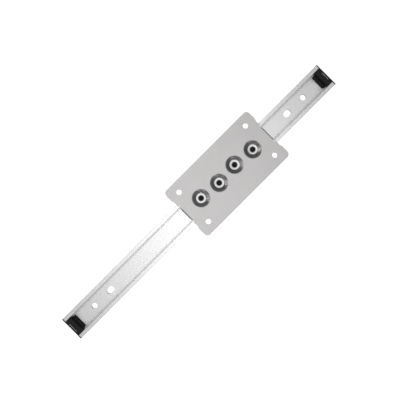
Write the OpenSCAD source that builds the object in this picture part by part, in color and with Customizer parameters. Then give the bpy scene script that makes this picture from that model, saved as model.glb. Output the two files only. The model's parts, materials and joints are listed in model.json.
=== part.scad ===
// Linear guide carriage on its C-section rail
//
// A pressed steel plate hangs four ball-bearing rollers between the lips of a light
// aluminium rail. The crowned rollers stand in a zig-zag, so that two bear on one
// raceway and two on the other. A plastic stop with a rubber buffer closes each end.
//
// X runs along the rail and Z up from its back. The origin is the centre of the
// rail's back face. All sizes are in millimetres.

/* [Rail] */
// Length of the rail, without its end stops
rail_length = 370; // [240:1:600]
// Width over the rail's outer faces
rail_width = 28; // [27.6:0.1:29]
// Height from the back face to the top of the lips
rail_height = 13; // [12.4:0.1:14]
// Thickness of the web between the raceways
web_thickness = 2.5; // [2:0.1:3]
// Thinnest wall, at the deepest point of a raceway
raceway_wall = 2; // [1.6:0.1:2.2]
// Radius of the concave raceways
raceway_radius = 4.5; // [4.4:0.1:4.8]
// Clear width between the lips
lip_opening = 19.9; // [19.4:0.1:20.6]
// Radius of the rail's outer corners
rail_corner = 0.8; // [0.3:0.1:1.5]

/* [Rail fixing holes] */
// Diameter of the round holes and width of the slots
rail_hole_diameter = 6.2; // [4.5:0.1:7]
// Length of the slots from end to end
rail_slot_length = 8.8; // [8:0.1:12]
// Distance from the rail's end to its round hole
rail_hole_from_end = 28.5; // [24:0.5:40]
// Distance from the round hole to the slot
rail_hole_pitch = 24; // [14:0.5:40]

/* [End stops] */
// Thickness of the flange over the rail's end
stop_flange = 1.2; // [0.8:0.1:3]
// Depth of the plug inside the rail
stop_plug_depth = 6.5; // [5:0.1:9]
// Width of the rubber buffer
buffer_width = 15.8; // [12:0.1:16.5]
// Distance that the buffer stands out of its stop
buffer_reach = 2; // [1.5:0.1:5]

/* [Carriage plate] */
// Length of the plate along the rail
plate_length = 120; // [116:1:160]
// Width of the plate across the rail
plate_width = 63.7; // [52:0.1:90]
// Thickness of the sheet
plate_thickness = 2.5; // [2:0.1:3]
// Radius of the plate's corners
plate_corner = 4.5; // [1:0.5:7]
// Place of the carriage along the rail at rest, from the rail's centre
carriage_x = 40.5; // [-10:0.5:45]
// Distance between bolt holes along the rail
bolt_spacing_x = 96; // [92:1:100]
// Distance between bolt holes across the rail
bolt_spacing_y = 42.4; // [40:0.2:44]
// Diameter of the bolt holes
bolt_hole_diameter = 5.5; // [4.5:0.1:6.6]
// Width of the bent-down tab at each end
tab_width = 17; // [12:0.5:18]
// Outer radius of the tab's coined bend
tab_bend_radius = 1.5; // [0.8:0.1:2.2]

/* [Roller screws] */
// Diameter of the screw head
screw_head_diameter = 10.5; // [9.5:0.1:11]
// Height of the screw head
screw_head_height = 4; // [3.6:0.1:4.4]
// Distance across the flats of the hexagon socket
socket_across_flats = 5; // [4:0.5:6]
// Depth of the socket
socket_depth = 3; // [1.5:0.1:3.2]
// Thread diameter of the screw
screw_thread_diameter = 6; // [5:0.1:6]

/* [Rollers] */
// Distance from one roller to the next along the rail
roller_pitch = 24.2; // [24:0.1:26]
// Distance that each roller stands off the rail's centre line
roller_offset = 1; // [0.8:0.1:1.1]
// Width of the bearing
bearing_width = 6; // [6:0.1:6.2]
// Number of balls in a bearing
ball_count = 8; // [5:1:8]
// Diameter of the balls
ball_diameter = 3.5; // [3.3:0.1:3.5]
// Radius of the circle through the ball centres
ball_pitch_radius = 7.5; // [7.4:0.1:7.6]

/* [Hidden] */
$fn = 96;

// Cuts pass this far through the faces that they open
overcut = 1;

// Rail section: the raceway arcs, across (y) and up (z)
rail_end = rail_length / 2;
raceway_half_width = rail_width / 2 - raceway_wall;
raceway_y = raceway_half_width - raceway_radius;
raceway_z = web_thickness + raceway_radius;

// End stops
stop_clearance = 0.15;
stop_plug_end = rail_end - stop_plug_depth;
plug_wing_setback = 3.1;
plug_wall = 0.35;
buffer_root = 2.2;
buffer_bottom = web_thickness + 0.9;
buffer_top = rail_height - 1;
buffer_corner = 0.5;
buffer_fit = 0.05;
pry_slot_length = 10.6;
pry_slot_width = 1;
pry_slot_depth = 1.6;
pry_slot_from_face = 2.2;

// Heights through a roller, from the bearing up to the plate
bearing_half = bearing_width / 2;
bearing_bottom = raceway_z - bearing_half;
bearing_top = raceway_z + bearing_half;
spacer_height = 0.9;
dimple_bottom = bearing_top + spacer_height;
dimple_floor = dimple_bottom + plate_thickness;
screw_head_sink = 0.3;
screw_head_top = dimple_floor + screw_head_height;
plate_top = screw_head_top + screw_head_sink;
plate_bottom = plate_top - plate_thickness;

// Dimple: the cone that the screw head sinks into, and the same cone one sheet lower
dimple_floor_radius = screw_head_diameter / 2 + 0.15;
dimple_spread = 0.92;
dimple_sheet_offset = plate_thickness * sqrt(1 + dimple_spread * dimple_spread);
function dimple_radius(z) = dimple_floor_radius + (z - dimple_floor) * dimple_spread;

// Plate ends: a shallow recess, with a relief notch on each side of the tab
recess_depth = 0.9;
recess_width = 36.6;
notch_depth = 2.3;
notch_width = 2.5;
tab_face = plate_length / 2 - recess_depth;
tab_bottom = web_thickness + 2.5;
tab_inner_radius = 0.5;
tab_corner = 2;

// Bearing: raceway grooves are a little wider than the balls
ball_radius = ball_diameter / 2;
groove_radius = ball_radius + 0.07;
groove_play = 0.06;
bore_radius = 4;
inner_land_radius = ball_pitch_radius - 1.3;
outer_land_radius = ball_pitch_radius + 1.25;
running_clearance = 0.05;
seal_thickness = 0.5;
seal_inset = 0.1;
seal_seat_radius = outer_land_radius + 0.35;
seal_seat_depth = seal_thickness + seal_inset + 0.1;
cage_inner_radius = inner_land_radius + 0.35;
cage_outer_radius = outer_land_radius - 0.35;
cage_above = bearing_half - seal_seat_depth - 0.15;
cage_below = 0.9;

// Roller tread: an arc a little tighter than the raceway, just clear of it
tread_radius = raceway_radius - 0.2;
tread_clearance = 0.01;
roller_radius = raceway_half_width - roller_offset - tread_clearance;

// Axle bush and spacer
bush_fit = 0.02;
bush_flange_radius = 5.5;
bush_flange_height = 0.9;
bush_bottom = bearing_bottom - bush_flange_height;
bush_top = bearing_top - 0.1;
spacer_radius = 5.6;
screw_passage_radius = screw_thread_diameter / 2 + 0.2;
screw_tip_chamfer = 0.6;

// Rollers are numbered from -X to +X, and start on the +Y raceway
rollers = [0:3];
function roller_x(i) = carriage_x + (i - 1.5) * roller_pitch;
function roller_y(i) = i % 2 == 0 ? roller_offset : -roller_offset;

// ---- Shared shapes ----

// A section drawn across and up, drawn out along the rail from x = start to x = end
module along_rail(start, end) {
    translate([start, 0, 0])
        rotate([90, 0, 90])
            linear_extrude(height = end - start) children();
}

// A side view drawn along and up, drawn out across the rail, half to each side
module across_rail(width) {
    rotate([90, 0, 0])
        linear_extrude(height = width, center = true) children();
}

// A rectangle about the origin with round corners
module rounded_rectangle(width, height, radius) {
    square([width - 2 * radius, height], center = true);
    square([width, height - 2 * radius], center = true);
    for (x = [-1, 1], y = [-1, 1])
        translate([x * (width / 2 - radius), y * (height / 2 - radius)])
            circle(r = radius);
}

// A washer from z = bottom to z = top
module ring(outer, inner, bottom, top) {
    difference() {
        translate([0, 0, bottom]) cylinder(r = outer, h = top - bottom);
        translate([0, 0, bottom - overcut]) cylinder(r = inner, h = top - bottom + 2 * overcut);
    }
}

// Puts its children on the axis of roller i
module at_roller(i) {
    translate([roller_x(i), roller_y(i), 0]) children();
}

// Puts its children at each corner of the carriage's bolt pattern
module at_bolts() {
    for (x = [-1, 1], y = [-1, 1])
        translate([x * bolt_spacing_x / 2, y * bolt_spacing_y / 2, 0]) children();
}

// ---- Rail ----

// Outside of the rail's section
module rail_outline() {
    translate([0, rail_height / 2])
        rounded_rectangle(rail_width, rail_height, rail_corner);
}

// Inside of the rail's section, drawn in by a clearance on every side
module rail_cavity(clearance, top) {
    half = raceway_radius - clearance;
    for (side = [-1, 1])
        translate([side * raceway_y, raceway_z]) circle(r = half);
    translate([-raceway_y, raceway_z - half]) square([2 * raceway_y, 2 * half]);
    translate([-lip_opening / 2 + clearance, raceway_z])
        square([lip_opening - 2 * clearance, top - raceway_z]);
}

module guide_rail() {
    slot_half = (rail_slot_length - rail_hole_diameter) / 2;
    hole_x = rail_end - rail_hole_from_end;
    color("lightgray")
        difference() {
            along_rail(-rail_end, rail_end)
                difference() {
                    rail_outline();
                    rail_cavity(0, rail_height + overcut);
                }
            for (side = [-1, 1]) {
                translate([side * hole_x, 0, -overcut])
                    cylinder(d = rail_hole_diameter, h = web_thickness + 2 * overcut);
                translate([side * (hole_x - rail_hole_pitch), 0, -overcut])
                    linear_extrude(height = web_thickness + 2 * overcut) {
                        for (end = [-1, 1])
                            translate([end * slot_half, 0]) circle(d = rail_hole_diameter);
                        square([2 * slot_half, rail_hole_diameter], center = true);
                    }
            }
        }
}

// ---- End stops and buffers, drawn at the +X end ----

// The block that the buffer fills, from x = start to x = end
module buffer_block(start, end, growth) {
    height = buffer_top - buffer_bottom;
    along_rail(start, end)
        translate([0, buffer_bottom + height / 2])
            rounded_rectangle(buffer_width + 2 * growth, height + 2 * growth, buffer_corner);
}

// Plan of what is cut from one corner of the plug: a lead-in that tapers from the buffer's
// pocket out to the lip, and the wing in the raceway, which starts further back
module plug_corner_plan() {
    wing_start = stop_plug_end + plug_wing_setback;
    front = stop_plug_end - overcut;
    pocket_side = buffer_width / 2 + plug_wall;
    polygon([
        [front, pocket_side],
        [stop_plug_end, pocket_side],
        [wing_start, lip_opening / 2 - stop_clearance],
        [wing_start, rail_width / 2],
        [front, rail_width / 2]
    ]);
}

module end_stop() {
    stop_top = rail_height - stop_clearance;
    slot_x = rail_end + stop_flange - pry_slot_from_face;
    color("dimgray")
        difference() {
            union() {
                along_rail(rail_end, rail_end + stop_flange) rail_outline();
                along_rail(stop_plug_end, rail_end + stop_flange / 2)
                    rail_cavity(stop_clearance, stop_top);
            }
            buffer_block(stop_plug_end - overcut, stop_plug_end + buffer_root, buffer_fit);
            for (side = [0, 1])
                mirror([0, side, 0])
                    linear_extrude(height = rail_height) plug_corner_plan();
            translate([slot_x - pry_slot_width / 2, -pry_slot_length / 2, stop_top - pry_slot_depth])
                cube([pry_slot_width, pry_slot_length, pry_slot_depth + overcut]);
        }
}

module buffer() {
    color("black")
        buffer_block(stop_plug_end - buffer_reach, stop_plug_end + buffer_root - buffer_fit, 0);
}

// ---- Carriage plate ----

// Flat outline of one sheet end's cut-outs, drawn at the +X end
module plate_end_cuts() {
    bend_start = tab_face - tab_bend_radius;
    notch_end = tab_face - notch_depth;
    far = plate_length / 2 + overcut;
    translate([tab_face, -recess_width / 2]) square([far - tab_face, recess_width]);
    translate([bend_start, -tab_width / 2]) square([far - bend_start, tab_width]);
    for (side = [-1, 1])
        translate([notch_end, side * (tab_width + notch_width) / 2 - notch_width / 2])
            square([far - notch_end, notch_width]);
}

// Side view of the tab: a flat root, a tight bend and a leg down between the lips
module tab_profile() {
    leg_inside = tab_face - plate_thickness;
    bend_x = tab_face - tab_bend_radius;
    bend_z = plate_top - tab_bend_radius;
    fillet_x = leg_inside - tab_inner_radius;
    fillet_z = plate_bottom - tab_inner_radius;
    fillet_block = tab_inner_radius + plate_thickness / 2;
    translate([fillet_x, plate_bottom])
        square([bend_x - fillet_x, plate_thickness]);
    translate([bend_x, bend_z]) circle(r = tab_bend_radius);
    translate([leg_inside, tab_bottom])
        square([plate_thickness, bend_z - tab_bottom]);
    translate([fillet_x, fillet_z])
        difference() {
            square(fillet_block);
            circle(r = tab_inner_radius);
        }
}

// Front view of the tab, which rounds the leg's two lower corners
module tab_front() {
    height = plate_top - tab_bottom + 2 * tab_corner;
    translate([0, tab_bottom + height / 2])
        rounded_rectangle(tab_width, height, tab_corner);
}

module tab() {
    intersection() {
        across_rail(tab_width + overcut) tab_profile();
        along_rail(tab_face - 2 * plate_thickness, tab_face + overcut) tab_front();
    }
}

module carriage_plate() {
    color("silver")
        translate([carriage_x, 0, 0])
            difference() {
                union() {
                    translate([0, 0, plate_bottom])
                        linear_extrude(height = plate_thickness)
                            difference() {
                                rounded_rectangle(plate_length, plate_width, plate_corner);
                                plate_end_cuts();
                                mirror([1, 0]) plate_end_cuts();
                            }
                    tab();
                    mirror([1, 0, 0]) tab();
                    for (i = rollers)
                        translate([-carriage_x, 0, 0]) at_roller(i) dimple_outside();
                }
                for (i = rollers)
                    translate([-carriage_x, 0, 0]) at_roller(i) dimple_inside();
                at_bolts()
                    translate([0, 0, plate_bottom - overcut])
                        cylinder(d = bolt_hole_diameter, h = plate_thickness + 2 * overcut);
            }
}

// Pressed-down cone under the sheet
module dimple_outside() {
    top = plate_bottom + plate_thickness / 2;
    translate([0, 0, dimple_bottom])
        cylinder(
            r1 = dimple_radius(dimple_bottom) + dimple_sheet_offset,
            r2 = dimple_radius(top) + dimple_sheet_offset,
            h = top - dimple_bottom
        );
}

// Hollow of the cone, and the screw's hole through its floor
module dimple_inside() {
    translate([0, 0, dimple_floor])
        cylinder(
            r1 = dimple_floor_radius,
            r2 = dimple_radius(plate_top + overcut),
            h = plate_top + overcut - dimple_floor
        );
    translate([0, 0, dimple_bottom - overcut])
        cylinder(r = screw_passage_radius, h = plate_thickness + 2 * overcut);
}

// ---- Screws, spacers and axle bushes ----

module roller_screw() {
    thread_radius = screw_thread_diameter / 2 - bush_fit;
    head_edge = 0.3;
    head_radius = screw_head_diameter / 2;
    difference() {
        rotate_extrude()
            polygon([
                [0, bush_bottom],
                [thread_radius - screw_tip_chamfer, bush_bottom],
                [thread_radius, bush_bottom + screw_tip_chamfer],
                [thread_radius, dimple_floor],
                [head_radius, dimple_floor],
                [head_radius, screw_head_top - head_edge],
                [head_radius - head_edge, screw_head_top],
                [0, screw_head_top]
            ]);
        translate([0, 0, screw_head_top - socket_depth])
            cylinder(d = socket_across_flats / cos(30), h = socket_depth + overcut, $fn = 6);
    }
}

module roller_screws() {
    color("gainsboro")
        for (i = rollers) at_roller(i) roller_screw();
}

module spacer(i) {
    color("gray")
        at_roller(i) ring(spacer_radius, screw_passage_radius, bearing_top, dimple_bottom);
}

module axle_bush(i) {
    color("gray")
        at_roller(i)
            difference() {
                union() {
                    translate([0, 0, bush_bottom])
                        cylinder(r = bush_flange_radius, h = bush_flange_height);
                    translate([0, 0, bush_bottom])
                        cylinder(r = bore_radius - bush_fit, h = bush_top - bush_bottom);
                }
                translate([0, 0, bush_bottom - overcut])
                    cylinder(d = screw_thread_diameter, h = bush_top - bush_bottom + 2 * overcut);
            }
}

// ---- Ball bearings ----

// Section of a ring groove, centred a little off the ball centres so that the balls run free
module groove(centre_radius) {
    translate([centre_radius, raceway_z]) circle(r = groove_radius);
}

module inner_ring(i) {
    color("lightsteelblue")
        at_roller(i)
            rotate_extrude()
                difference() {
                    translate([bore_radius, bearing_bottom])
                        square([inner_land_radius - bore_radius, bearing_width]);
                    groove(ball_pitch_radius + groove_play);
                }
}

// The outer ring is the roller: its tread is a crown that fits the rail's raceway
module outer_ring(i) {
    color("lightsteelblue")
        at_roller(i)
            rotate_extrude()
                difference() {
                    intersection() {
                        translate([outer_land_radius, bearing_bottom])
                            square([roller_radius, bearing_width]);
                        translate([roller_radius - tread_radius, raceway_z])
                            circle(r = tread_radius);
                    }
                    groove(ball_pitch_radius - groove_play);
                    for (z = [bearing_bottom - overcut, bearing_top - seal_seat_depth])
                        translate([0, z]) square([seal_seat_radius, seal_seat_depth + overcut]);
                }
}

// Seal disc whose lower face is at z = bottom
module seal(i, bottom) {
    color("saddlebrown")
        at_roller(i)
            ring(
                seal_seat_radius - bush_fit,
                inner_land_radius + running_clearance,
                bottom,
                bottom + seal_thickness
            );
}

module upper_seal(i) {
    seal(i, bearing_top - seal_inset - seal_thickness);
}

module lower_seal(i) {
    seal(i, bearing_bottom + seal_inset);
}

// Puts its children at each ball of roller i
module at_balls(i) {
    for (n = [0:ball_count - 1])
        at_roller(i)
            rotate([0, 0, n * 360 / ball_count])
                translate([ball_pitch_radius, 0, raceway_z]) children();
}

module balls(i) {
    color("white")
        at_balls(i) sphere(r = ball_radius);
}

// Crown cage: a band above the balls with a round pocket for each
module ball_cage(i) {
    color("burlywood")
        difference() {
            at_roller(i)
                ring(
                    cage_outer_radius,
                    cage_inner_radius,
                    raceway_z - cage_below,
                    raceway_z + cage_above
                );
            at_balls(i) sphere(r = ball_radius + running_clearance);
        }
}

// ---- Nodes ----

guide_rail();
mirror([1, 0, 0]) end_stop();  // end_stop_left
end_stop();  // end_stop_right
mirror([1, 0, 0]) buffer();  // buffer_left
buffer();  // buffer_right
carriage_plate();
roller_screws();
spacer(0);  // spacer_1
spacer(1);  // spacer_2
spacer(2);  // spacer_3
spacer(3);  // spacer_4
axle_bush(0);  // axle_bush_1
axle_bush(1);  // axle_bush_2
axle_bush(2);  // axle_bush_3
axle_bush(3);  // axle_bush_4
inner_ring(0);  // inner_ring_1
inner_ring(1);  // inner_ring_2
inner_ring(2);  // inner_ring_3
inner_ring(3);  // inner_ring_4
outer_ring(0);  // outer_ring_1
outer_ring(1);  // outer_ring_2
outer_ring(2);  // outer_ring_3
outer_ring(3);  // outer_ring_4
balls(0);  // balls_1
balls(1);  // balls_2
balls(2);  // balls_3
balls(3);  // balls_4
ball_cage(0);  // ball_cage_1
ball_cage(1);  // ball_cage_2
ball_cage(2);  // ball_cage_3
ball_cage(3);  // ball_cage_4
upper_seal(0);  // upper_seal_1
upper_seal(1);  // upper_seal_2
upper_seal(2);  // upper_seal_3
upper_seal(3);  // upper_seal_4
lower_seal(0);  // lower_seal_1
lower_seal(1);  // lower_seal_2
lower_seal(2);  // lower_seal_3
lower_seal(3);  // lower_seal_4
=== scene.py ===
import json
import math

import bmesh
import bpy
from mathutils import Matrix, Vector


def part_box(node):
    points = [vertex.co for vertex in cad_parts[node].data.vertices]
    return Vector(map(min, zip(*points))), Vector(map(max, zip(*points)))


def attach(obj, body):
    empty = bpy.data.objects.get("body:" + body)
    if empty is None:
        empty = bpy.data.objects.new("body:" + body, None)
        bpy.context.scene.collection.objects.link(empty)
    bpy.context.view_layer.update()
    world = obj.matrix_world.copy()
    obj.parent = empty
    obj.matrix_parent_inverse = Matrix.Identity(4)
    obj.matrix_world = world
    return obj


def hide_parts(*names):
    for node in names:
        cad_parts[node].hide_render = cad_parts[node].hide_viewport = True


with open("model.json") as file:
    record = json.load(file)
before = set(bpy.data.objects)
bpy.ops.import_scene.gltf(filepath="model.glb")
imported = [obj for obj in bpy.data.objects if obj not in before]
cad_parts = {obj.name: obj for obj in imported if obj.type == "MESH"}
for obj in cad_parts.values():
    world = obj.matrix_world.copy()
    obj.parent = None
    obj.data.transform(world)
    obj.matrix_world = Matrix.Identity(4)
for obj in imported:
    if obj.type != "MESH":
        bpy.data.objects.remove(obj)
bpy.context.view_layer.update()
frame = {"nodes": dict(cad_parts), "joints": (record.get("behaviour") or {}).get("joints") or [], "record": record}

MM = 0.001
ROLLERS = (1, 2, 3, 4)
RING_STEPS = 96                 # points in a full circle of a turned or pressed shape
SHARP_FROM = 35                 # degrees between two faces at which their edge counts as sharp
SCREW_SHARP_FROM = 30           # the same, for the screws
CUT_TOLERANCE = 1e-7            # metres within which a point counts as on a cut


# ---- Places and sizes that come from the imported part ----

rail_low, rail_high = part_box("guide_rail")
plate_low, plate_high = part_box("carriage_plate")
stop_low, stop_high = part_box("end_stop_right")
buffer_low, buffer_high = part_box("buffer_right")
screw_low, screw_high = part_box("roller_screws")
mounts = {mount["name"]: mount for mount in frame["record"]["mounts"]}
roller_centres = [
    Vector(joint["pos_m"]) for joint in frame["joints"] if joint["name"].endswith("_spin")
]
plate_centre_x = (plate_low.x + plate_high.x) / 2


# ---- Sizes inside the pieces, which no box gives ----

WEB = 2.5 * MM                  # thickness of the rail's web
RACEWAY_WALL = 2 * MM           # rail wall behind a raceway
RACEWAY_RADIUS = 4.5 * MM
RACEWAY_CENTRE = (rail_high.y - RACEWAY_WALL - RACEWAY_RADIUS, WEB + RACEWAY_RADIUS)
LIP_HALF_OPENING = 9.95 * MM
LIP_EDGE = 0.3 * MM             # rounding of the lips' inner edges
RAIL_CORNER = 0.8 * MM
RAIL_HOLE_EDGE = 0.15 * MM      # rounding of the rims of the rail's holes

PLUG_CLEARANCE = 0.15 * MM      # between an end stop's plug and the rail
PLUG_WING_SETBACK = 3.1 * MM    # from the plug's face to its wings in the raceways
PLUG_WALL = 0.35 * MM           # beside the buffer, at the plug's face
STOP_EDGE = 0.2 * MM            # rounding of an end stop's edges
PRY_SLOT_X = stop_high.x - 2.2 * MM     # middle of the slot in an end stop's top
PRY_SLOT_HALF_WIDTH = 0.5 * MM
PRY_SLOT_HALF_LENGTH = 5.3 * MM
PRY_SLOT_DEPTH = 1.6 * MM       # below the plug's top
BUFFER_CORNER = 0.5 * MM
BUFFER_DOME = 0.3 * MM          # height of the rounding round a buffer's face
BUFFER_FIT = 0.05 * MM          # between a buffer and its pocket
OVERCUT = 1 * MM                # how far a cutter goes past what it cuts

SHEET = 2.5 * MM                # thickness of the carriage plate
PLATE_CORNER = 4.5 * MM
PLATE_EDGE = 0.14 * MM          # rounding of the rim of the plate's outline
PLATE_HOLE_EDGE = 0.2 * MM      # rounding of the rims of its bolt holes
PLATE_STEP = 0.35 * MM          # rounding of the outline's corners at the notches and recesses
RECESS_DEPTH = 0.9 * MM
RECESS_HALF_WIDTH = 18.3 * MM
NOTCH_DEPTH = 2.3 * MM
NOTCH_WIDTH = 2.5 * MM
TAB_HALF_WIDTH = 8.5 * MM
TAB_CORNER = 2 * MM
TAB_BOTTOM = 5 * MM
BEND_RADIUS = 1.5 * MM          # of the tab's outer face
BEND_INSIDE = 0.5 * MM          # of its inner face
BEND = SHEET + BEND_INSIDE      # from the middle of the tab's bend to its outer face
BEND_STEPS = 24                 # rows of faces round a bend
DIMPLE_DEPTH = 4.3 * MM
DIMPLE_FLOOR_RADIUS = 5.4 * MM
DIMPLE_SPREAD = 0.92            # growth of the dimple's radius with height
DIMPLE_EDGES = (0.5 * MM, 0.4 * MM)         # rounding at its mouth and its floor, on its upper side
DIMPLE_EDGES_BELOW = (1.2 * MM, 1 * MM)     # the same, on its lower side
SCREW_PASSAGE_RADIUS = 3.2 * MM

HEAD_HEIGHT = 4 * MM
HEAD_RADIUS = 5.25 * MM
HEAD_EDGE = 0.35 * MM           # rounding of the head's top edge
KNURL_DEPTH = 0.09 * MM
KNURL_TEETH = RING_STEPS / 4
SOCKET_HALF_FLATS = 2.5 * MM
SOCKET_DEPTH = 3 * MM
SOCKET_MOUTH = SOCKET_HALF_FLATS / math.cos(math.pi / 6) + 0.12 * MM    # radius of its countersink
DRILL_RADIUS = 2.2 * MM         # of the drilling under the socket
DRILL_CONE = 1.3 * MM           # depth of that drilling's cone
POINT_RADIUS = 0.02 * MM        # of the small circle that closes a screw at either end
SHANK = 1.2 * MM                # plain length under the head
THREAD_RADIUS = 2.97 * MM
THREAD_DEPTH = 0.55 * MM
THREAD_PITCH = 1 * MM
THREAD_ROWS = 8                 # circles in one turn of the thread
TIP_CHAMFER = 0.6 * MM


# ---- Stage, lamps and camera. Powers are in watts, and angles in degrees ----

FLOOR_SIZE = 3                  # metres
FLOOR_GAP = 0.02 * MM           # below the rail's back, so that the two faces don't coincide
BACKDROP = 0.86                 # brightness of the room and the far floor, as the camera sees them
OVERHEAD_TOWARDS = (-0.02, 0, 1)
OVERHEAD_WIDTH = 14
OVERHEAD_STRENGTH = 1.65
KEY_PLACE = (-8 * MM, 0, 200 * MM)
KEY_WIDTH = 120 * MM
KEY_POWER = 0.358
FILL_HEIGHT = 6 * MM            # of an end fill above the web
FILL_RADIUS = 2 * MM
FILL_POWER = 3.3e-4
CAMERA_PLACE = (2.09 * MM, 0.48 * MM, 405.6 * MM)
CAMERA_TURN = -45
CAMERA_LENS = 34.2              # millimetres


# ---- Outlines: lists of points in a plane, anticlockwise round material, clockwise round a hole ----

def arc(centre, radius, start, end, steps):
    """Points along an arc, with its angles in degrees."""
    points = []
    for i in range(steps + 1):
        angle = math.radians(start + (end - start) * i / steps)
        points.append((centre[0] + radius * math.cos(angle), centre[1] + radius * math.sin(angle)))
    return points


def rounded_rectangle(centre, width, height, radius, steps=8):
    points = []
    for i, (side_x, side_y) in enumerate(((1, 1), (-1, 1), (-1, -1), (1, -1))):
        corner = (
            centre[0] + side_x * (width / 2 - radius),
            centre[1] + side_y * (height / 2 - radius),
        )
        points += arc(corner, radius, 90 * i, 90 * i + 90, steps)
    return points


def hole(centre, radius, straight=0):
    """A round hole, or a slot along X when straight is more than zero."""
    left = arc((centre[0] - straight / 2, centre[1]), radius, 270, 90, RING_STEPS // 2)
    right = arc((centre[0] + straight / 2, centre[1]), radius, 90, -90, RING_STEPS // 2)
    if straight:
        return left + right
    return left[:-1] + right[:-1]


def inset(points, distance):
    """Moves an outline into its material by distance, square to its sides."""
    moved = []
    for i, point in enumerate(points):
        here = Vector(point)
        into = (here - Vector(points[i - 1])).normalized()
        away = (Vector(points[(i + 1) % len(points)]) - here).normalized()
        before, after = Vector((-into.y, into.x)), Vector((-away.y, away.x))
        moved.append(here + (before + after) * distance / (1 + before.dot(after)))
    return moved


def soften(points, radius, steps=3, sharpest=30):
    """Rounds every corner of an outline that turns by more than sharpest degrees."""
    rounded = []
    for i, point in enumerate(points):
        here = Vector(point)
        into = here - Vector(points[i - 1])
        away = Vector(points[(i + 1) % len(points)]) - here
        if into.angle(away) < math.radians(sharpest):
            rounded.append(here)
            continue
        start = here - into.normalized() * min(radius, into.length / 2)
        end = here + away.normalized() * min(radius, away.length / 2)
        for k in range(steps + 1):
            t = k / steps
            rounded.append(start * (1 - t) ** 2 + here * 2 * t * (1 - t) + end * t ** 2)
    return rounded


# ---- Mesh helpers ----

def bridge(bm, first, second):
    """Joins two closed loops of the same number of points with a band of faces."""
    for i in range(len(first)):
        j = (i + 1) % len(first)
        bm.faces.new((first[i], first[j], second[j], second[i]))


def rounded_side(z_top, z_bottom, radius, steps=3):
    """(inset, z) pairs that go from a top face, round a side with rounded edges, to the bottom face."""
    side = []
    for i in range(steps + 1):
        turn = math.pi / 2 * i / steps
        side.append((radius * (1 - math.sin(turn)), radius * (1 - math.cos(turn))))
    upper = [(amount, z_top - drop) for amount, drop in side]
    lower = [(amount, z_bottom + drop) for amount, drop in reversed(side)]
    return upper + lower


def wall(bm, outline, side):
    """Follows an outline with a wall of the given (inset, z) pairs. Returns its first and last loops."""
    loops = [[bm.verts.new((*point, z)) for point in inset(outline, amount)] for amount, z in side]
    for first, second in zip(loops, loops[1:]):
        bridge(bm, first, second)
    return loops[0], loops[-1]


def fill(bm, loops):
    """Fills the flat area inside the first loop and outside the others."""
    edges = []
    for loop in loops:
        for a, b in zip(loop, loop[1:] + loop[:1]):
            edges.append(bm.edges.get((a, b)) or bm.edges.new((a, b)))
    bmesh.ops.triangle_fill(bm, edges=edges, use_beauty=True, use_dissolve=False)


def ring(bm, centre, radius, z):
    """A circle of points. radius may be a function of the angle."""
    verts = []
    for i in range(RING_STEPS):
        angle = 2 * math.pi * i / RING_STEPS
        r = radius(angle) if callable(radius) else radius
        verts.append(bm.verts.new((centre.x + r * math.cos(angle), centre.y + r * math.sin(angle), z)))
    return verts


def turned(bm, centre, profile):
    """A skin through the circles of a profile of (radius, z). Returns the first and last circles."""
    rings = [ring(bm, centre, radius, z) for radius, z in profile]
    for first, second in zip(rings, rings[1:]):
        bridge(bm, first, second)
    return rings[0], rings[-1]


def swept(bm, section, x_start, x_end, closed=True):
    """Draws a section of (y, z) points out along the rail. Returns its two rows."""
    rows = [[bm.verts.new((x, y, z)) for y, z in section] for x in (x_start, x_end)]
    if closed:
        bridge(bm, *rows)
        for row in rows:
            bm.faces.new(row)
    else:
        for i in range(len(section) - 1):
            bm.faces.new((rows[0][i], rows[0][i + 1], rows[1][i + 1], rows[1][i]))
    return rows


def new_object(name, bm):
    bmesh.ops.recalc_face_normals(bm, faces=bm.faces)
    mesh = bpy.data.meshes.new(name)
    bm.to_mesh(mesh)
    bm.free()
    made = bpy.data.objects.new(name, mesh)
    bpy.context.scene.collection.objects.link(made)
    return made


def combine(target, tool, operation):
    """Joins or cuts target with tool, and removes tool."""
    change = target.modifiers.new("combine", "BOOLEAN")
    change.object = tool
    change.operation = operation
    change.solver = "EXACT"
    depsgraph = bpy.context.evaluated_depsgraph_get()
    target.data = bpy.data.meshes.new_from_object(target.evaluated_get(depsgraph))
    target.modifiers.clear()
    bpy.data.objects.remove(tool)


def keep_flat(piece):
    """Keeps flat faces flat beside smoothed edges."""
    weighted = piece.modifiers.new("flat_faces", "WEIGHTED_NORMAL")
    weighted.keep_sharp = True


def shade(piece, sharp_from=SHARP_FROM):
    """Smooths the rounded edges, and leaves sharp the ones that turn by more than sharp_from degrees."""
    piece.data.shade_smooth()
    piece.data.set_sharp_from_angle(angle=math.radians(sharp_from))
    keep_flat(piece)


def place(piece, body, slot, material, *nodes):
    """Finishes a piece: its material, its body and the CAD nodes that it stands for."""
    piece.data.materials.clear()
    piece.data.materials.append(material)
    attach(piece, body)
    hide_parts(*nodes)


# ---- Shader helpers ----

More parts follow.
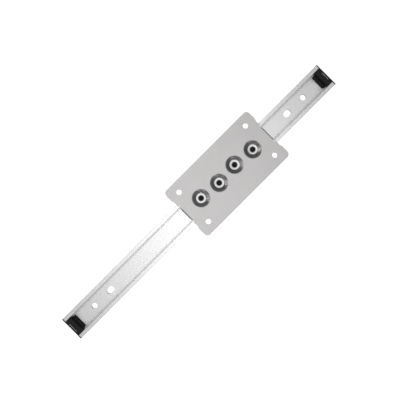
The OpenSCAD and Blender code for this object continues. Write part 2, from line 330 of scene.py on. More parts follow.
class Nodes:
    """Adds shader nodes to one tree, and wires every input that is given as a socket."""

    def __init__(self, tree):
        self.tree = tree
        self.tree.nodes.clear()

    def add(self, kind, inputs=None, **settings):
        made = self.tree.nodes.new("ShaderNode" + kind)
        for name, value in settings.items():
            setattr(made, name, value)
        for name, value in (inputs or {}).items():
            if isinstance(value, bpy.types.NodeSocket):
                self.tree.links.new(value, made.inputs[name])
            else:
                made.inputs[name].default_value = value
        return made

    def math(self, operation, a, b=0.0):
        return self.add("Math", {0: a, 1: b}, operation=operation).outputs[0]

    def scaled(self, value, low, high, to_low=0.0, to_high=1.0):
        """Maps low..high on to to_low..to_high, and holds the ends."""
        inputs = {0: value, 1: low, 2: high, 3: to_low, 4: to_high}
        return self.add("MapRange", inputs).outputs[0]

    def spread(self, noise, to_low=0.0, to_high=1.0):
        """Maps the middle of a noise's range on to to_low..to_high."""
        return self.scaled(noise, 0.3, 0.7, to_low, to_high)

    def product(self, value, *others):
        for other in others:
            value = self.math("MULTIPLY", value, other)
        return value

    def distance(self, value, middle):
        """How far value is from middle, on either side."""
        return self.math("ABSOLUTE", self.math("SUBTRACT", value, middle))

    def place_mm(self):
        """Place on the object in millimetres, in the part's frame."""
        place = self.add("TexCoord").outputs["Object"]
        return self.add("VectorMath", {0: place, "Scale": 1 / MM}, operation="SCALE").outputs[0]

    def stretch(self, place, frequency):
        """Multiplies place by a frequency along each axis."""
        return self.add("VectorMath", {0: place, 1: frequency}, operation="MULTIPLY").outputs[0]

    def noise(self, place, scale=1.0, detail=2.0, roughness=0.5):
        inputs = {"Vector": place, "Scale": scale, "Detail": detail, "Roughness": roughness}
        return self.add("TexNoise", inputs).outputs[0]

    def axes(self, place):
        return self.add("SeparateXYZ", {0: place}).outputs

    def mix(self, factor, a, b):
        return self.add("MixRGB", {"Fac": factor, "Color1": a, "Color2": b}).outputs[0]

    def bump(self, height, strength, depth_mm, normal=None):
        inputs = {"Height": height, "Strength": strength, "Distance": depth_mm * MM}
        if normal is not None:
            inputs["Normal"] = normal
        return self.add("Bump", inputs).outputs[0]

    def surface(self, **inputs):
        """Ends the tree with a Principled shader. Underscores in the names stand for spaces."""
        named = {name.replace("_", " "): value for name, value in inputs.items()}
        shader = self.add("BsdfPrincipled", named)
        self.add("OutputMaterial", {"Surface": shader.outputs[0]})


def new_material(name):
    material = bpy.data.materials.new(name)
    material.use_nodes = True
    return material, Nodes(material.node_tree)


def grey(value, warmth=0.0):
    return (value * (1 + warmth), value, value * (1 - warmth), 1)


def roller_radius_mm(n, place):
    """Distance from the nearest roller's axis, in millimetres."""
    flat = n.stretch(place, (1, 1, 0))
    nearest = None
    for centre in roller_centres:
        axis = (centre.x / MM, centre.y / MM, 0)
        distance = n.add("VectorMath", {0: flat, 1: axis}, operation="DISTANCE").outputs["Value"]
        nearest = distance if nearest is None else n.math("MINIMUM", nearest, distance)
    return nearest


# ---- Materials. Lengths are in millimetres, and n.scaled fades in from its first limit to its second ----

def rail_aluminium():
    """Clear-anodised extrusion: die lines along the rail, a burnished track in each raceway, and painted shade on
    the walls of the web's holes.
    """
    material, n = new_material("rail_aluminium")
    place = n.place_mm()
    lines = n.noise(n.stretch(place, (0.015, 5, 5)), detail=4, roughness=0.65)
    satin = n.noise(n.stretch(place, (1.2, 9, 9)), detail=3)
    cloud = n.noise(n.stretch(place, (0.02, 0.12, 0.12)), detail=2)
    axes = n.axes(place)
    side = n.math("ABSOLUTE", axes[1])
    off_track = n.distance(axes[2], roller_centres[0].z / MM)
    deepest = (rail_high.y - RACEWAY_WALL) / MM
    in_raceway = n.scaled(side, deepest - 0.8, deepest - 0.4)
    in_raceway = n.product(in_raceway, n.scaled(side, deepest + 0.8, deepest + 0.6))
    track = n.product(n.scaled(off_track, 1.1, 0.6), in_raceway)
    hole_radius, web = mounts["rail_bolts"]["dims"]["hole_r_mm"], WEB / MM
    near_hole = n.scaled(side, hole_radius + 0.3, hole_radius + 0.2)
    # Painted shade: the walls of the holes through the web are coloured dark.
    hole_wall_shade = n.product(near_hole, n.scaled(axes[2], web - 0.05, web - 0.2), n.scaled(axes[2], 0.05, 0.2))
    tone = n.mix(n.spread(lines), grey(0.81), grey(0.84))
    tone = n.mix(n.spread(cloud, 0, 0.5), tone, grey(0.825, -0.004))
    tone = n.mix(track, tone, grey(0.75, 0.01))
    tone = n.mix(hole_wall_shade, tone, grey(0.25))
    rough = n.math("ADD", n.spread(satin, 0.38, 0.44), n.spread(lines, 0, 0.04))
    rough = n.math("SUBTRACT", rough, n.product(track, 0.2))
    metallic = n.math("ADD", 0.22, n.product(track, 0.7))
    normal = n.bump(lines, 0.15, 0.01)
    normal = n.bump(satin, 0.1, 0.004, normal)
    n.surface(Base_Color=tone, Metallic=metallic, Roughness=rough, Normal=normal)
    return material


def plate_steel():
    """Satin zinc-plated sheet, smoother in the dimples, which are formed in a press. Painted shade darkens the
    dimples' slopes and the tabs' tight bends.
    """
    material, n = new_material("plate_steel")
    place = n.place_mm()
    grain = n.noise(n.stretch(place, (0.25, 3.5, 3.5)), detail=4, roughness=0.6)
    speckle = n.noise(place, scale=3.2, detail=4, roughness=0.7)
    cloud = n.noise(place, scale=0.07, detail=3)
    tint = n.noise(place, scale=0.045, detail=1)
    axes = n.axes(place)
    depth = n.math("SUBTRACT", plate_high.z / MM, axes[2])
    pressed_and_shaded = n.scaled(depth, 0.15, 0.8)
    unpressed = n.math("SUBTRACT", 1, pressed_and_shaded)
    around = n.add("CombineXYZ", {"X": roller_radius_mm(n, place), "Z": depth}).outputs[0]
    forming = n.noise(around, scale=2.5, detail=3)
    tab_face = ((plate_high.x - plate_low.x) / 2 - RECESS_DEPTH) / MM
    tab_side = TAB_HALF_WIDTH / MM
    from_middle = n.distance(axes[0], plate_centre_x / MM)
    bend_start = n.scaled(from_middle, tab_face - 1.1, tab_face - 0.7)
    bend_end = n.scaled(depth, 2.6, 2.2)
    on_tab = n.scaled(n.math("ABSOLUTE", axes[1]), tab_side + 0.1, tab_side)
    tone = n.mix(n.spread(cloud), grey(0.76, 0.012), grey(0.79, 0.012))
    tone = n.mix(n.scaled(tint, 0.35, 0.65, 0, 0.5), tone, (0.785, 0.765, 0.775, 1))
    tone = n.mix(n.scaled(speckle, 0.35, 0.65, 0, 0.12), tone, grey(0.5))
    # Painted shade: the dimples' slopes get a darker colour. The same mask also makes them smoother and carries
    # their forming marks.
    tone = n.mix(pressed_and_shaded, tone, grey(0.40))
    # Painted shade: a dark band along each tab's bend.
    tone = n.mix(n.product(bend_start, bend_end, on_tab), tone, grey(0.16))
    rough = n.math("ADD", n.spread(speckle, 0.40, 0.50), n.spread(grain, 0, 0.05))
    rough = n.math("SUBTRACT", rough, n.product(pressed_and_shaded, 0.16))
    normal = n.bump(grain, n.product(unpressed, 0.12), 0.01)
    normal = n.bump(speckle, n.product(unpressed, 0.15), 0.008, normal)
    normal = n.bump(forming, n.product(pressed_and_shaded, 0.07), 0.015, normal)
    n.surface(Base_Color=tone, Metallic=1.0, Roughness=rough, Normal=normal)
    return material


def turned_steel(name, base, roughness, marks):
    """Turned or ground steel, with tool marks round the nearest roller's axis."""
    material, n = new_material(name)
    place = n.place_mm()
    around = n.add("CombineXYZ", {"X": roller_radius_mm(n, place), "Z": n.axes(place)[2]}).outputs[0]
    cuts = n.noise(n.stretch(around, (7, 1, 7)), detail=4, roughness=0.6)
    fleck = n.noise(place, scale=2.2, detail=3)
    tone = n.mix(n.spread(cuts), grey(base * 0.94), grey(base, 0.004))
    smudge = n.scaled(fleck, 0.4, 0.7, 0, 0.05)
    rough = n.math("ADD", n.spread(cuts, roughness, roughness + 0.08), smudge)
    normal = n.bump(cuts, marks, 0.008)
    normal = n.bump(fleck, 0.08, 0.006, normal)
    n.surface(Base_Color=tone, Metallic=1.0, Roughness=rough, Normal=normal)
    return material


def screw_steel():
    """Bright zinc-plated screw with a turned head. The inside of its socket has painted shade, paler in its
    middle.
    """
    material, n = new_material("screw_steel")
    place = n.place_mm()
    radius = roller_radius_mm(n, place)
    depth = n.math("SUBTRACT", screw_high.z / MM, n.axes(place)[2])
    around = n.add("CombineXYZ", {"X": radius, "Z": depth}).outputs[0]
    cuts = n.noise(n.stretch(around, (5, 1, 5)), detail=4, roughness=0.6)
    fleck = n.noise(place, scale=2.6, detail=3)
    # Painted shade inside the socket: dark grey, a little paler near the axis.
    socket_shade_mask = n.product(n.scaled(depth, 0.05, 0.3), n.scaled(radius, 3.2, 2.95))
    socket = n.mix(n.scaled(radius, 0.6, 1.8), grey(0.21), grey(0.09))
    tone = n.mix(n.spread(cuts), grey(0.76), grey(0.82))
    tone = n.mix(socket_shade_mask, tone, socket)
    rough = n.math("ADD", n.spread(cuts, 0.30, 0.38), n.scaled(fleck, 0.4, 0.7, 0, 0.05))
    normal = n.bump(cuts, 0.2, 0.01)
    normal = n.bump(fleck, 0.1, 0.008, normal)
    n.surface(Base_Color=tone, Metallic=1.0, Roughness=rough, Normal=normal)
    return material


def moulded(name, tone, roughness, texture_scale, texture_mm, shine=0.5, painted_highlight=None):
    """Moulded plastic or rubber, with an eroded texture and a faint, uneven bloom. The optional last argument is a
    function that gives the share of painted highlight at a place: paler colour that stands in for light."""
    material, n = new_material(name)
    place = n.place_mm()
    texture = n.noise(place, scale=texture_scale, detail=4, roughness=0.6)
    cloud = n.noise(place, scale=0.35, detail=3)
    flow = n.noise(n.stretch(place, (0.15, 0.6, 0.6)), detail=3)
    bloom = tuple(part * 1.5 + 0.004 for part in tone[:3]) + (1,)
    colour = n.mix(n.scaled(cloud, 0.35, 0.65, 0, 0.5), tone, bloom)
    colour = n.mix(n.scaled(flow, 0.4, 0.7, 0, 0.4), colour, bloom)
    if painted_highlight:
        # Painted highlight: paler colour where the given function marks a lit wall.
        colour = n.mix(painted_highlight(n, place), colour, grey(0.95))
    rough = n.spread(texture, roughness - 0.04, roughness + 0.05)
    rough = n.math("ADD", rough, n.spread(cloud, 0, 0.05))
    normal = n.bump(texture, 0.35, texture_mm)
    n.surface(Base_Color=colour, Roughness=rough, Normal=normal, Specular_IOR_Level=shine)
    return material


def painted_slot_highlight(n, place):
    """Painted highlight on the outboard wall of an end stop's pry slot: the plastic there is coloured paler to
    stand in for light on that wall.
    """
    axes = n.axes(place)
    wall_x = (PRY_SLOT_X + PRY_SLOT_HALF_WIDTH) / MM - 0.04
    slot_end = PRY_SLOT_HALF_LENGTH / MM
    slot_floor = (PLUG_CLEARANCE + PRY_SLOT_DEPTH) / MM
    off_wall = n.distance(n.math("ABSOLUTE", axes[0]), wall_x)
    across = n.math("ABSOLUTE", axes[1])
    depth = n.math("SUBTRACT", stop_high.z / MM, axes[2])
    return n.product(
        n.scaled(off_wall, 0.14, 0.1),
        n.scaled(across, slot_end, slot_end - 0.2),
        n.scaled(depth, 0.25, 0.4),
        n.scaled(depth, slot_floor - 0.05, slot_floor - 0.25),
    )


# ---- Rail ----

def lip_angle(half_opening, radius):
    """Where an arc round the raceway's centre meets the lips' opening, in degrees."""
    return math.degrees(math.acos((half_opening - RACEWAY_CENTRE[0]) / radius))


def rail_half_section():
    """(y, z) points from the back's edge, over the lip and down the raceway to the web, on the +Y side."""
    outer = rail_high.y - RAIL_CORNER
    top = rail_high.z
    points = arc((outer, RAIL_CORNER), RAIL_CORNER, -90, 0, 6)
    points += arc((outer, top - RAIL_CORNER), RAIL_CORNER, 0, 90, 6)
    points += arc((LIP_HALF_OPENING + LIP_EDGE, top - LIP_EDGE), LIP_EDGE, 90, 180, 4)
    points += arc(RACEWAY_CENTRE, RACEWAY_RADIUS, lip_angle(LIP_HALF_OPENING, RACEWAY_RADIUS), -90, 40)
    return points


def rail_holes():
    """Outlines of the round holes and the slots in the web."""
    outlines = []
    for name in ("rail_bolts", "rail_slots"):
        dims = mounts[name]["dims"]
        radius = dims["hole_r_mm"] * MM
        length = dims.get("slot_length_mm", 2 * dims["hole_r_mm"]) * MM
        for side in (-1, 1):
            centre = (side * dims["spacing_x_mm"] * MM / 2, 0)
            outlines.append(hole(centre, radius, round(length - 2 * radius, 9)))
    return outlines


def guide_rail(material):
    bm = bmesh.new()
    half = rail_half_section()
    right = swept(bm, half, rail_low.x, rail_high.x, closed=False)
    left = swept(bm, [(-y, z) for y, z in half], rail_low.x, rail_high.x, closed=False)
    for end in (0, 1):
        bm.faces.new(right[end] + left[end][::-1])
    hole_side = rounded_side(WEB, 0, RAIL_HOLE_EDGE)
    loops = [wall(bm, outline, hole_side) for outline in rail_holes()]
    for face, edge in ((0, -1), (1, 0)):
        corners = [right[0][edge], right[1][edge], left[1][edge], left[0][edge]]
        fill(bm, [corners] + [pair[face] for pair in loops])
    rail = new_object("c_section_rail", bm)
    shade(rail)
    place(rail, "rail", "rail_aluminium", material, "guide_rail")
    return rail


# ---- End stops and buffers ----

def plug_section():
    """(y, z) outline of the plug, which follows the inside of the rail at a small clearance."""
    radius = RACEWAY_RADIUS - PLUG_CLEARANCE
    half_opening = LIP_HALF_OPENING - PLUG_CLEARANCE
    half = arc(RACEWAY_CENTRE, radius, -90, lip_angle(half_opening, radius), 30)
    half.append((half_opening, rail_high.z - PLUG_CLEARANCE))
    return half + [(-y, z) for y, z in reversed(half)]


def swept_object(name, section, x_start, x_end):
    bm = bmesh.new()
    swept(bm, section, x_start, x_end)
    return new_object(name, bm)


def block(low, high):
    """A plain cutter between two corners."""
    section = [(low[1], low[2]), (high[1], low[2]), (high[1], high[2]), (low[1], high[2])]
    return swept_object("cutter", section, low[0], high[0])


def upright(points):
    """A cutter with the given plan, as high as the rail."""
    bm = bmesh.new()
    rows = [[bm.verts.new((x, y, z)) for x, y in points] for z in (0, rail_high.z)]
    bridge(bm, *rows)
    for row in rows:
        bm.faces.new(row)
    return new_object("cutter", bm)


def plug_corner(plug_start):
    """Plan of what is cut from one corner of the plug: a lead-in, and the wing's setback."""
    front, wing = plug_start - OVERCUT, plug_start + PLUG_WING_SETBACK
    pocket_side = buffer_high.y + PLUG_WALL
    return [
        (front, pocket_side),
        (plug_start, pocket_side),
        (wing, LIP_HALF_OPENING - PLUG_CLEARANCE),
        (wing, rail_high.y),
        (front, rail_high.y),
    ]


def buffer_pocket(side):
    """Cutter for the buffer's pocket, from in front of the plug to the buffer's back."""
    middle = (0, (buffer_low.z + buffer_high.z) / 2)
    width = 2 * (buffer_high.y + BUFFER_FIT)
    height = buffer_high.z - buffer_low.z + 2 * BUFFER_FIT
    outline = rounded_rectangle(middle, width, height, BUFFER_CORNER)
    return swept_object("pocket", outline, side * (stop_low.x - OVERCUT), side * (buffer_high.x + BUFFER_FIT))


def pry_slot(side):
    """Cutter for the slot in the plug's top."""
    top = rail_high.z - PLUG_CLEARANCE
    ends = (side * (PRY_SLOT_X - PRY_SLOT_HALF_WIDTH), side * (PRY_SLOT_X + PRY_SLOT_HALF_WIDTH))
    low = (min(ends), -PRY_SLOT_HALF_LENGTH, top - PRY_SLOT_DEPTH)
    high = (max(ends), PRY_SLOT_HALF_LENGTH, top + OVERCUT)
    return block(low, high)


def end_stop(name, side, material):
    """Flange and plug in one moulding, with the buffer's pocket and a pry slot."""
    flange_start, outer_face, plug_start = rail_high.x, stop_high.x, stop_low.x
    flange = rounded_rectangle((0, rail_high.z / 2), 2 * rail_high.y, rail_high.z, RAIL_CORNER)
    stop_name = name.replace("end_stop", "end_cap")
    stop = swept_object(stop_name, flange, side * flange_start, side * outer_face)
    plug_end = (flange_start + outer_face) / 2
    combine(stop, swept_object("plug", plug_section(), side * plug_start, side * plug_end), "UNION")
    combine(stop, buffer_pocket(side), "DIFFERENCE")
    for across in (-1, 1):
        plan = [(side * x, across * y) for x, y in plug_corner(plug_start)]
        combine(stop, upright(plan), "DIFFERENCE")
    combine(stop, pry_slot(side), "DIFFERENCE")
    bevel = stop.modifiers.new("rounded_edges", "BEVEL")
    bevel.width = STOP_EDGE
    bevel.segments = 3
    bevel.limit_method = "ANGLE"
    bevel.angle_limit = math.radians(SHARP_FROM)
    stop.data.shade_smooth()
    keep_flat(stop)
    place(stop, "rail", "stop_plastic", material, name)


def buffer(name, side, material):
    """Rubber block with a rounded, slightly domed face."""
    middle = (0, (buffer_low.z + buffer_high.z) / 2)
    width, height = 2 * buffer_high.y, buffer_high.z - buffer_low.z
    rows = [(buffer_high.x, 0), (buffer_low.x + BUFFER_DOME, 0)]
    steps = 6
    for i in range(1, steps + 1):
        turn = math.pi / 2 * i / steps
        x = buffer_low.x + BUFFER_DOME * (1 - math.sin(turn))
        rows.append((x, BUFFER_DOME * (1 - math.cos(turn))))
    bm = bmesh.new()
    loops = []
    for x, amount in rows:
        corner = BUFFER_CORNER - amount
        outline = rounded_rectangle(middle, width - 2 * amount, height - 2 * amount, corner)
        loops.append([bm.verts.new((side * x, y, z)) for y, z in outline])
    for first, second in zip(loops, loops[1:]):
        bridge(bm, first, second)
    bm.faces.new(loops[0])
    bm.faces.new(loops[-1])
    pad = new_object(name + "_pad", bm)
    shade(pad)
    place(pad, "rail", "buffer_rubber", material, name)


# ---- Carriage plate ----

def plate_blank():
    """Outline of the flat blank about the plate's centre, with both tabs still straight."""
    half_length = (plate_high.x - plate_low.x) / 2
    half_width = plate_high.y
    face = half_length - RECESS_DEPTH
    notch = face - NOTCH_DEPTH
    notch_side = TAB_HALF_WIDTH + NOTCH_WIDTH
    leg = plate_high.z - BEND - TAB_BOTTOM
    tip = face - BEND + math.pi / 2 * BEND + leg
    upper = arc((tip - TAB_CORNER, TAB_HALF_WIDTH - TAB_CORNER), TAB_CORNER, 0, 90, 8)
    upper += [(notch, TAB_HALF_WIDTH), (notch, notch_side), (face, notch_side)]
    upper += [(face, RECESS_HALF_WIDTH), (half_length, RECESS_HALF_WIDTH)]
    upper += arc((half_length - PLATE_CORNER, half_width - PLATE_CORNER), PLATE_CORNER, 0, 90, 20)
    lower = [(x, -y) for x, y in reversed(upper)]
    end = lower + upper
    return soften(end + [(-x, -y) for x, y in end], PLATE_STEP)


def dimple_skins():
    """(radius, z) profiles of a dimple's upper and lower skins, from the sheet to the screw's hole."""
    top, bottom = plate_high.z, plate_high.z - SHEET
    floor = top - DIMPLE_DEPTH
    slope = math.degrees(math.atan2(1, DIMPLE_SPREAD))
    reach = math.tan(math.radians(slope / 2))
    mouth = DIMPLE_FLOOR_RADIUS + DIMPLE_DEPTH * DIMPLE_SPREAD
    outwards = SHEET * (math.hypot(1, DIMPLE_SPREAD) - DIMPLE_SPREAD)
    skins = []
    for edge, base, z, z_floor, (upper_round, lower_round) in (
        (mouth, DIMPLE_FLOOR_RADIUS, top, floor, DIMPLE_EDGES),
        (mouth + outwards, DIMPLE_FLOOR_RADIUS + outwards, bottom, floor - SHEET, DIMPLE_EDGES_BELOW),
    ):
        skin = arc((edge + upper_round * reach, z - upper_round), upper_round, 90, 90 + slope, 8)
        skin += arc((base - lower_round * reach, z_floor + lower_round), lower_round, slope - 90, -90, 8)
        skin.append((SCREW_PASSAGE_RADIUS, z_floor))
        skins.append(skin)
    return skins


def bend_reach(turn):
    """From the middle of a tab's bend to its outer face, at an angle from straight up."""
    up, out = math.cos(turn), math.sin(turn)
    core = BEND - BEND_RADIUS
    if BEND * min(up, out) <= core * max(up, out):
        return BEND / max(up, out)
    return core * (up + out) + math.sqrt(BEND_RADIUS**2 - (core * (up - out)) ** 2)


def cut_across(bm, x):
    """Cuts every face of the blank along a line at x."""
    every = bm.verts[:] + bm.edges[:] + bm.faces[:]
    bmesh.ops.bisect_plane(bm, geom=every, dist=CUT_TOLERANCE, plane_co=(x, 0, 0), plane_no=(1, 0, 0))


def bend_tabs(bm):
    """Bends the blank's two tabs down, with rows of cuts across each bend so that it is smooth."""
    bend_x = (plate_high.x - plate_low.x) / 2 - RECESS_DEPTH - BEND
    bend_z = plate_high.z - BEND
    for side in (-1, 1):
        for i in range(BEND_STEPS + 1):
            cut_across(bm, side * (bend_x + math.pi / 2 * BEND * i / BEND_STEPS))
    for vert in bm.verts:
        beyond = abs(vert.co.x) - bend_x
        across = (abs(vert.co.y) - TAB_HALF_WIDTH) / NOTCH_WIDTH
        if beyond <= 0 or across >= 1:
            continue
        turn = min(beyond / BEND, math.pi / 2)
        leg = beyond - turn * BEND
        layer = (vert.co.z - bend_z - BEND_INSIDE) / SHEET
        radius = BEND_INSIDE + layer * (bend_reach(turn) - BEND_INSIDE)
        x = math.copysign(bend_x + radius * math.sin(turn), vert.co.x)
        bent = Vector((x, vert.co.y, bend_z + radius * math.cos(turn) - leg))
        vert.co = vert.co.lerp(bent, 1 - max(across, 0))


def carriage_plate(material):
    """A blank with rounded edges, holes and dimples, whose tabs are then bent down."""
    bm = bmesh.new()
    top, bottom = plate_high.z, plate_high.z - SHEET
    loops = [wall(bm, plate_blank(), rounded_side(top, bottom, PLATE_EDGE))]
    dims = mounts["carriage_bolts"]["dims"]
    hole_side = rounded_side(top, bottom, PLATE_HOLE_EDGE)
    for x in (-1, 1):
        for y in (-1, 1):
            centre = (x * dims["spacing_x_mm"] * MM / 2, y * dims["spacing_y_mm"] * MM / 2)
            loops.append(wall(bm, hole(centre, dims["hole_r_mm"] * MM), hole_side))
    for roller in roller_centres:
        centre = Vector((roller.x - plate_centre_x, roller.y))
        skins = [turned(bm, centre, skin) for skin in dimple_skins()]
        bridge(bm, skins[0][1], skins[1][1])
        loops.append((skins[0][0], skins[1][0]))
    for face in (0, 1):
        fill(bm, [pair[face] for pair in loops])
    bend_tabs(bm)
    bmesh.ops.translate(bm, verts=bm.verts, vec=(plate_centre_x, 0, 0))
    plate = new_object("pressed_plate", bm)
    shade(plate)
    place(plate, "carriage", "plate_steel", material, "carriage_plate")
    return plate


# ---- Roller screws ----

def hexagon(angle):
    """Radius of the socket's hexagon at an angle from one of its corners."""
    return SOCKET_HALF_FLATS / math.cos(angle % (math.pi / 3) - math.pi / 6)


def socket_mouth(angle):
    """Radius part of the way into the socket's countersink, where the hexagon's corners still show."""
    return max(hexagon(angle), SOCKET_MOUTH - 0.1 * MM)


def knurled(angle):
    """Radius of the head's side, with shallow teeth."""
    return HEAD_RADIUS - KNURL_DEPTH * (1 - math.cos(KNURL_TEETH * angle)) / 2


def threaded(z):
    """Radius of the thread at height z, which climbs as it turns."""
    def radius(angle):
        phase = (z / THREAD_PITCH - angle / (2 * math.pi)) % 1
        return THREAD_RADIUS - THREAD_DEPTH * abs(2 * phase - 1)
    return radius


def socket_profile():
    """(radius, z) from the point of the drilling under the socket up to the head's top face."""
    top, floor_z = screw_high.z, screw_high.z - SOCKET_DEPTH
    return [
        (POINT_RADIUS, floor_z - DRILL_CONE),
        (DRILL_RADIUS, floor_z),
        (hexagon, floor_z),
        (hexagon, top - 0.35 * MM),
        (socket_mouth, top - 0.2 * MM),
        (SOCKET_MOUTH, top - 0.03 * MM),
        (SOCKET_MOUTH + 0.08 * MM, top),
    ]


def head_profile():
    """(radius, z) over the head's rounded edge and down its knurled side to its seat."""
    top, seat = screw_high.z, screw_high.z - HEAD_HEIGHT
    flat = HEAD_RADIUS - HEAD_EDGE
    return [
        (flat, top),
        *arc((flat, top - HEAD_EDGE), HEAD_EDGE, 75, 15, 4),
        (HEAD_RADIUS, top - HEAD_EDGE - 0.2 * MM),
        (knurled, top - 0.8 * MM),
        (knurled, seat + 0.6 * MM),
        (HEAD_RADIUS - 0.02 * MM, seat + 0.35 * MM),
        (HEAD_RADIUS - 0.3 * MM, seat),
    ]


def thread_profile():
    """(radius, z) from the seat down the plain shank and the thread to the tip."""
    seat, tip = screw_high.z - HEAD_HEIGHT, screw_low.z
    start = seat - SHANK - 0.2 * MM
    rows = int((start - tip - TIP_CHAMFER) / THREAD_PITCH * THREAD_ROWS)
    profile = [(THREAD_RADIUS, seat), (THREAD_RADIUS, seat - SHANK)]
    for i in range(rows + 1):
        z = start - i * THREAD_PITCH / THREAD_ROWS
        profile.append((threaded(z), z))
    return profile + [(THREAD_RADIUS - TIP_CHAMFER, tip), (POINT_RADIUS, tip)]


def screw(bm, centre):
    """Socket head cap screw, drawn from the point of its socket's drilling out and down to its tip."""
    first, last = turned(bm, centre, socket_profile() + head_profile() + thread_profile())
    bm.faces.new(first)
    bm.faces.new(last)


def roller_screws(material):
    bm = bmesh.new()
    for centre in roller_centres:
        screw(bm, centre)
    screws = new_object("cap_screws", bm)
    shade(screws, SCREW_SHARP_FROM)
    place(screws, "carriage", "screw_steel", material, "roller_screws")


# ---- CAD nodes that stay, with their materials ----

def finish_cad_nodes():
    ring_steel = turned_steel("ring_steel", base=0.72, roughness=0.14, marks=0.12)
    seal_tone, cage_tone = (0.045, 0.02, 0.012, 1), (0.55, 0.47, 0.33, 1)
    seal_rubber = moulded("seal_rubber", seal_tone, roughness=0.5, texture_scale=9, texture_mm=0.015)
    finishes = {
        "spacer": turned_steel("spacer_steel", base=0.55, roughness=0.36, marks=0.25),
        "axle_bush": turned_steel("bush_steel", base=0.60, roughness=0.34, marks=0.30),
        "inner_ring": ring_steel,
        "outer_ring": ring_steel,
        "balls": turned_steel("ball_steel", base=0.80, roughness=0.05, marks=0.02),
        "ball_cage": moulded("cage_nylon", cage_tone, roughness=0.42, texture_scale=5, texture_mm=0.02),
        "upper_seal": seal_rubber,
        "lower_seal": seal_rubber,
    }
    for kind, material in finishes.items():
        for number in ROLLERS:
            name = f"{kind}_{number}"
            node = frame["nodes"][name]
            node.data.materials.clear()
            node.data.materials.append(material)


# ---- Stage, light and camera ----

def floor():
    """Pale floor, which is plain white from straight above and takes soft shadows from the side."""
    bm = bmesh.new()
    bmesh.ops.create_grid(bm, x_segments=1, y_segments=1, size=FLOOR_SIZE)
    made = new_object("floor", bm)
    made.location.z = -FLOOR_GAP
    material, n = new_material("floor")
    geometry = n.add("NewGeometry")
    facing = n.axes(geometry.outputs["Incoming"])[2]
    seen = n.add("LightPath").outputs["Is Camera Ray"]
    from_above = n.product(n.scaled(facing, 0.6, 0.79), seen)
    distance = n.add("VectorMath", {0: geometry.outputs["Position"]}, operation="LENGTH").outputs["Value"]
    far = n.product(n.scaled(distance, 0.5, 1.6), seen)
    paper = n.add("BsdfDiffuse", {"Color": grey(0.8)}).outputs[0]
    glow = n.add("Emission", {"Color": grey(1), "Strength": 0.3}).outputs[0]
    lit = n.add("AddShader", {0: paper, 1: glow}).outputs[0]
    backdrop = n.add("Emission", {"Color": grey(BACKDROP), "Strength": 1.0}).outputs[0]
    white = n.add("Emission", {"Color": grey(1), "Strength": 1.2}).outputs[0]
    near_and_far = n.add("MixShader", {0: far, 1: lit, 2: backdrop}).outputs[0]
    shown = n.add("MixShader", {0: from_above, 1: near_and_far, 2: white}).outputs[0]
    n.add("OutputMaterial", {"Surface": shown})
    made.data.materials.append(material)


def studio():
    """A large soft light overhead in a pale room."""
    world = bpy.data.worlds.new("studio")
    world.use_nodes = True
    bpy.context.scene.world = world
    n = Nodes(world.node_tree)
    direction = n.add("TexCoord").outputs["Generated"]
    direction = n.add("VectorMath", {0: direction}, operation="NORMALIZE").outputs[0]
    overhead_way = Vector(OVERHEAD_TOWARDS).normalized()
    facing = n.add("VectorMath", {0: direction, 1: overhead_way}, operation="DOT_PRODUCT").outputs["Value"]
    angle = n.math("ARCCOSINE", n.math("MINIMUM", facing, 1.0))
    share = n.math("DIVIDE", angle, math.radians(OVERHEAD_WIDTH))
    fall = n.math("EXPONENT", n.product(share, share, -0.5))
    overhead = n.product(fall, OVERHEAD_STRENGTH)
    room = n.scaled(n.axes(direction)[2], -0.1, 0.6, 0.10, 0.22)
    light = n.math("ADD", overhead, room)
    seen = n.add("LightPath").outputs["Is Camera Ray"]
    strength = n.add("Mix", {0: seen, 2: light, 3: BACKDROP}).outputs[0]
    background = n.add("Background", {"Color": grey(1), "Strength": strength}).outputs[0]
    n.add("OutputWorld", {"Surface": background})
    bpy.context.scene.view_settings.view_transform = "Standard"


def new_lamp(name, kind, power):
    lamp = bpy.data.objects.new(name, bpy.data.lights.new(name, kind))
    lamp.data.energy = power
    bpy.context.scene.collection.objects.link(lamp)
    return lamp


def hide_lamp(lamp):
    """Takes the lamp's own image out of the view and out of reflections."""
    lamp.visible_glossy = False
    lamp.visible_camera = False


def only_on(lamp, piece):
    """Lets the lamp light one piece, without shadows."""
    receivers = bpy.data.collections.new(lamp.name)
    receivers.objects.link(piece)
    lamp.light_linking.receiver_collection = receivers
    lamp.data.use_shadow = False
    lamp.data.cycles.use_multiple_importance_sampling = False


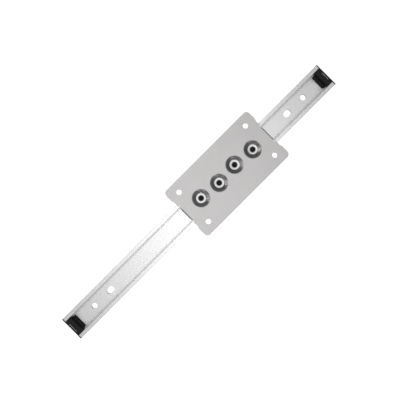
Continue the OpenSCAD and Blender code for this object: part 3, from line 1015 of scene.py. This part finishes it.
def key_light(unshaded_by):
    """Soft lamp above the middle of the rail that gives no glints. One piece throws no shadow from it."""
    lamp = new_lamp("key", "AREA", KEY_POWER)
    lamp.data.shape = "DISK"
    lamp.data.size = KEY_WIDTH
    lamp.location = KEY_PLACE
    hide_lamp(lamp)
    blockers = bpy.data.collections.new("key_blockers")
    blockers.objects.link(unshaded_by)
    blockers.collection_objects[0].light_linking.link_state = "EXCLUDE"
    lamp.light_linking.blocker_collection = blockers


def rim_light(name, lit, towards, spread, strength):
    """Weak low lamp that only glints on the slopes of one piece, and throws no shadow into its dimples."""
    lamp = new_lamp(name, "SUN", strength)
    lamp.data.angle = math.radians(spread)
    lamp.rotation_euler = Vector(towards).to_track_quat("Z", "Y").to_euler()
    lamp.visible_diffuse = False
    only_on(lamp, lit)


def end_fill(name, face_x, lit):
    """Weak lamp at a buffer's face, which keeps the rail's web pale up to the dark rubber."""
    lamp = new_lamp(name, "POINT", FILL_POWER)
    lamp.data.shadow_soft_size = FILL_RADIUS
    lamp.location = (face_x, 0, WEB + FILL_HEIGHT)
    hide_lamp(lamp)
    only_on(lamp, lit)


def camera():
    """Straight above, turned so that the rail runs from the lower left to the upper right."""
    made = bpy.data.objects.new("camera", bpy.data.cameras.new("camera"))
    made.data.lens = CAMERA_LENS
    made.location = CAMERA_PLACE
    made.rotation_euler = (0, 0, math.radians(CAMERA_TURN))
    bpy.context.scene.collection.objects.link(made)
    bpy.context.scene.camera = made


rail = guide_rail(rail_aluminium())
# The end stops' plastic has a painted highlight on the outboard wall of each pry slot.
stop_plastic = moulded(
    "stop_plastic", grey(0.010), roughness=0.38, texture_scale=7, texture_mm=0.03, shine=0.22, painted_highlight=painted_slot_highlight
)
buffer_rubber = moulded(
    "buffer_rubber", grey(0.002), roughness=0.75, texture_scale=4, texture_mm=0.04, shine=0.25
)
for suffix, side in (("_left", -1), ("_right", 1)):
    end_stop("end_stop" + suffix, side, stop_plastic)
    buffer("buffer" + suffix, side, buffer_rubber)
plate = carriage_plate(plate_steel())
roller_screws(screw_steel())
finish_cad_nodes()
floor()
studio()
key_light(plate)
rim_light("left_rim", plate, towards=(-1, 1, -0.15), spread=54, strength=0.48)
rim_light("lower_rim", plate, towards=(-0.75, -0.65, -0.1), spread=100, strength=0.36)
end_fill("left_fill", -buffer_low.x, rail)
end_fill("right_fill", buffer_low.x, rail)
camera()
